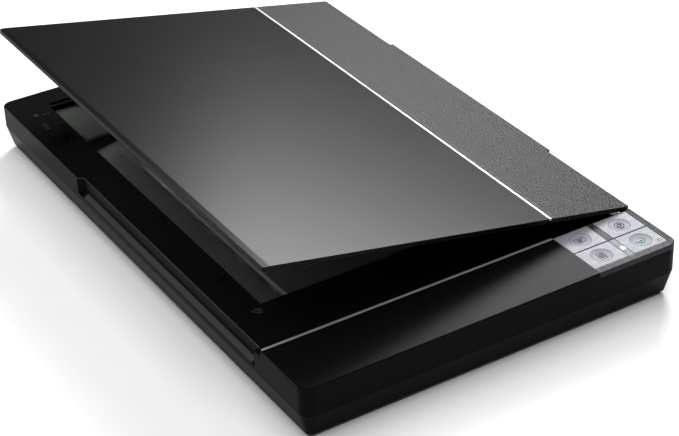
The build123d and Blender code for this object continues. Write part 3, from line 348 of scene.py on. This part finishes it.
def icon(node, name, paths, material, cyclic=False):
    """A printed icon on the floor of a button's dish."""
    x, y, z = button_centre(node)
    place = flattened(x, y, z - ICON_DEPTH)
    scaled = [[(px * ICON_SCALE, py * ICON_SCALE, 0) for px, py in path] for path in paths]
    stroke(name, scaled, ICON_LINE, material, node, cyclic, place)


def ring_path(radius):
    """A closed circle for icon(), in the icon's own units."""
    return [(x, y) for x, y, _ in arc(0, 0, radius, 0, 360, 0)]


def flat_plate(name, corners, material, body):
    """A thin closed plate whose top face has these corners, listed anticlockwise from above."""
    count = len(corners)
    lower = [(x, y, z - PLATE_THICKNESS) for x, y, z in corners]
    sides = [(k, k + count, (k + 1) % count + count, (k + 1) % count) for k in range(count)]
    faces = [tuple(range(count)), tuple(reversed(range(count, 2 * count)))] + sides
    mesh = bpy.data.meshes.new(name)
    mesh.from_pydata(corners + lower, [], faces)
    obj = bpy.data.objects.new(name, mesh)
    bpy.context.scene.collection.objects.link(obj)
    finish_piece(obj, material, body)


def start_plate():
    """Pale teal diamond under the start button's icon."""
    x, y, z = button_centre(START_BUTTON)
    reach = 2.1 * ICON_SCALE
    depth = z - ICON_DEPTH - 0.02 * MM
    sides = ((-reach, 0), (0, -reach), (reach, 0), (0, reach))
    corners = [(x + dx, y + dy, depth) for dx, dy in sides]
    flat_plate("start_plate", corners, "plate_teal", START_BUTTON)


def dish_ring(node):
    """Thin line round the rim of a button's dish."""
    x, y, z = button_centre(node)
    ring = arc(0, 0, DISH_RADIUS, 0, 352.5, 0, 47)
    place = flattened(x, y, z - 0.06 * MM)
    stroke(
        "dish_ring_" + node, [ring], 0.14 * MM, "bezel_grey", node, True, place
    )


def draw_icons():
    """Plain icons: a sheet, a lens, a page and a start diamond."""
    sheet = [(-2.6, -1.5), (2.6, -1.5), (2.6, 1.5), (-2.6, 1.5)]
    sheet_lines = [[(-1.6, 0.5), (1.6, 0.5)], [(-1.6, -0.5), (0.8, -0.5)]]
    lens_bar = [(-2.8, -2.7), (2.8, -2.7)]
    page = [(-1.5, -2.4), (1.7, -2.4), (1.7, 1.4), (0.7, 2.4), (-1.5, 2.4)]
    page_lines = [[(-0.8, y), (1.0, y)] for y in (1.1, 0.0, -1.1)]
    diamond = [(0, -2.3), (2.3, 0), (0, 2.3), (-2.3, 0)]
    plus = [[(-1.2, 0), (1.2, 0)], [(0, -1.2), (0, 1.2)]]
    rear_left, rear_right, front_left, front_right = BUTTONS
    icon(rear_left, "icon_sheet", [sheet], "icon_grey", cyclic=True)
    icon(rear_left, "icon_sheet_lines", sheet_lines, "icon_grey")
    icon(rear_right, "icon_lens", [ring_path(2.1), ring_path(0.9)], "icon_grey")
    icon(rear_right, "icon_lens_bar", [lens_bar], "icon_grey")
    icon(front_left, "icon_page", [page], "icon_grey", cyclic=True)
    icon(front_left, "icon_page_lines", page_lines, "icon_grey")
    icon(front_right, "icon_start", [diamond], "icon_teal", cyclic=True)
    icon(front_right, "icon_start_plus", plus, "icon_teal")
    start_plate()
    for node in BUTTONS:
        dish_ring(node)


draw_icons()


# ---------------------------------------------------------------- marks on the case, with painted highlights and painted light on the case and lid
def power_mark():
    """The usual ring-and-bar sign in the corner of the start button."""
    low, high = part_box(START_BUTTON)
    place = flattened(high.x - 3.6 * MM, low.y + 3.9 * MM, high.z)
    ring = arc(0, 0, 1.25 * MM, 125, 415, 0)
    bar = [(0, 0.3 * MM, 0), (0, 1.6 * MM, 0)]
    stroke(
        "power_mark", [ring, bar], 0.2 * MM, "icon_grey", START_BUTTON,
        place=place,
    )


def lamp_lens():
    """Lit lens let into the window between the front buttons."""
    low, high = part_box("status_window")
    middle = Vector(((low.x + high.x) / 2 + 0.4 * MM, low.y + 9.4 * MM, high.z))
    mesh = bpy.data.meshes.new("lamp_lens")
    lens = bmesh.new()
    bmesh.ops.create_cube(lens, size=1.0)
    bmesh.ops.scale(lens, vec=LENS_SIZE, verts=lens.verts)
    bmesh.ops.bevel(
        lens, geom=lens.edges[:], offset=0.2 * MM, segments=3, profile=0.5, affect="EDGES"
    )
    bmesh.ops.translate(lens, vec=middle, verts=lens.verts)
    lens.to_mesh(mesh)
    lens.free()
    obj = bpy.data.objects.new("lamp_lens", mesh)
    bpy.context.scene.collection.objects.link(obj)
    finish_piece(obj, "led_green", "case")


def rim_lines():
    """Fine moulded lines along the bezel's right rim."""
    low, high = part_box("button_bezel")
    lines = []
    for inset in RIM_INSETS:
        x = high.x - inset
        lines.append([(x, low.y + 6 * MM, high.z), (x, high.y - 1 * MM, high.z)])
    stroke("rim_lines", lines, 0.16 * MM, "case_black", "case")


def lid_groove_highlight():
    """Painted highlight along the edge of the shallow groove beside the lid's silver strip, laid in the lid's own
    frame.
    """
    hinge = next(j for j in frame["joints"] if j["name"] == "lid_hinge")
    opening = -math.radians(hinge["range_deg"][0])
    place = Matrix.Translation(hinge["pos_m"]) @ Matrix.Rotation(opening, 4, "Y")
    line = [(LID_HIGHLIGHT_X, y, LID_HIGHLIGHT_Z) for y in LID_HIGHLIGHT_Y]
    stroke("lid_groove_highlight", [line], 0.2 * MM, "edge_highlight_grey", "lid", place=place)


def burst_mark():
    """Small star and leader line by the glass's rear corner."""
    x, y = BURST_CENTRE
    lines = []
    for k in range(8):
        angle = math.radians(45 * k)
        ray = [
            (x + reach * math.cos(angle), y + reach * math.sin(angle), DECK_TOP)
            for reach in (BURST_NEAR, BURST_FAR[k % 2])
        ]
        lines.append(ray)
    lines.append([(-121.6 * MM, 181.5 * MM, DECK_TOP), (-115.6 * MM, 181.5 * MM, DECK_TOP)])
    stroke("corner_mark", lines, MARK_LINE, "mark_grey", "case")


def deck_edge_highlight():
    """Painted highlight along the deck's left edge and round the finger recess, where the rounded edge catches the
    light.
    """
    outer_x, inner_x = -139.85 * MM, -135.9 * MM
    path = [
        (outer_x, 206 * MM, DECK_TOP),
        (outer_x, 85.6 * MM, DECK_TOP),
        (inner_x, 82 * MM, DECK_TOP),
        (inner_x, -157.4 * MM, DECK_TOP),
    ]
    stroke("deck_edge_highlight", [path], 0.14 * MM, "edge_highlight_grey", "case")


def recess_ledge():
    """Grained face on the sloping ledge of the left side's finger recess; its grain is real, and its grey, far
    lighter than the case, is painted light where the ledge faces up into the light.
    """
    outer_x, inner_x = RECESS_X
    outer_z, inner_z = RECESS_Z
    front_y, rear_y = RECESS_Y
    corners = [
        (outer_x, front_y, outer_z),
        (inner_x, front_y, inner_z),
        (inner_x, rear_y, inner_z),
        (outer_x, rear_y, outer_z),
    ]
    flat_plate("recess_ledge", corners, "lit_ledge_grain", "case")


def size_marks():
    """Ruled size marks beside the glass, with no figures."""
    lines = [[(-119.6 * MM, 163.7 * MM, DECK_TOP), (-113 * MM, 163.7 * MM, DECK_TOP)]]
    for y in (160.0, 162.4, 164.8, 167.2):
        lines.append([(-128.4 * MM, y * MM, DECK_TOP), (-124.8 * MM, y * MM, DECK_TOP)])
    stroke("size_marks", lines, MARK_LINE, "mark_grey", "case")


def corner_ticks():
    """Fan of short curved ticks outside the glass's front-left corner."""
    x, y = -112.0 * MM, -117.5 * MM
    ticks = [arc(x, y, radius * MM, *MARK_ANGLES, DECK_TOP, 8) for radius in (6.0, 8.0, 10.0)]
    stroke("corner_ticks", ticks, MARK_LINE, "mark_grey", "case")


def socket_contacts():
    """Gilt contacts on the tongue of the USB socket."""
    low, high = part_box("usb_port")
    x = (low.x + high.x) / 2
    pads = []
    for dx in (-1.4, 1.4):
        for z in (13.5, 16.7):
            back = (x + dx * MM, high.y - 9.5 * MM, z * MM)
            front = (x + dx * MM, high.y - 1.6 * MM, z * MM)
            pads.append([back, front])
    stroke("usb_contacts", pads, 0.2 * MM, "brass_gear", "case")


power_mark()
lamp_lens()
rim_lines()
lid_groove_highlight()
burst_mark()
deck_edge_highlight()
recess_ledge()
size_marks()
corner_ticks()
socket_contacts()


# ---------------------------------------------------------------- floor, light, camera
def make_floor():
    """Plain pale paper."""
    mesh = bpy.data.meshes.new("floor")
    grid = bmesh.new()
    bmesh.ops.create_grid(grid, x_segments=4, y_segments=4, size=6.0)
    grid.to_mesh(mesh)
    grid.free()
    floor = bpy.data.objects.new("floor", mesh)
    bpy.context.scene.collection.objects.link(floor)
    floor.data.materials.append(
        surface("floor_paper", (0.9, 0.9, 0.9), 0.9, mottle=(40, 0.01), specular=0.1)
    )


def soft_light(name, location, target, size, power):
    """A rectangular softbox that faces its target."""
    data = bpy.data.lights.new(name, "AREA")
    data.shape = "RECTANGLE"
    data.size, data.size_y = size
    data.energy = power
    lamp = bpy.data.objects.new(name, data)
    lamp.location = location
    direction = Vector(target) - Vector(location)
    lamp.rotation_mode = "QUATERNION"
    lamp.rotation_quaternion = direction.to_track_quat("-Z", "Y")
    bpy.context.scene.collection.objects.link(lamp)


def make_world():
    """A dim even white surround."""
    world = bpy.data.worlds.new("studio")
    bpy.context.scene.world = world
    world.use_nodes = True
    sky = world.node_tree.nodes["Background"]
    sky.inputs["Color"].default_value = (1, 1, 1, 1)
    sky.inputs["Strength"].default_value = SKY_STRENGTH


def make_camera():
    """Long lens, looking down on the front left corner."""
    data = bpy.data.cameras.new("camera")
    data.sensor_width = 36.0
    data.lens = CAMERA_LENS
    data.shift_x, data.shift_y = CAMERA_SHIFT
    data.clip_end = 20.0
    camera = bpy.data.objects.new("camera", data)
    camera.location = CAMERA_LOCATION
    back = Vector((
        math.sin(CAMERA_AZIMUTH) * math.cos(CAMERA_ELEVATION),
        -math.cos(CAMERA_AZIMUTH) * math.cos(CAMERA_ELEVATION),
        math.sin(CAMERA_ELEVATION),
    ))
    camera.rotation_mode = "QUATERNION"
    level = (-back).to_track_quat("-Z", "Y")
    camera.rotation_quaternion = level @ Matrix.Rotation(CAMERA_ROLL, 4, "Z").to_quaternion()
    bpy.context.scene.collection.objects.link(camera)
    bpy.context.scene.camera = camera


make_floor()
make_world()
for light in LIGHTS:
    soft_light(*light)
bpy.context.scene.view_settings.view_transform = "Standard"
make_camera()
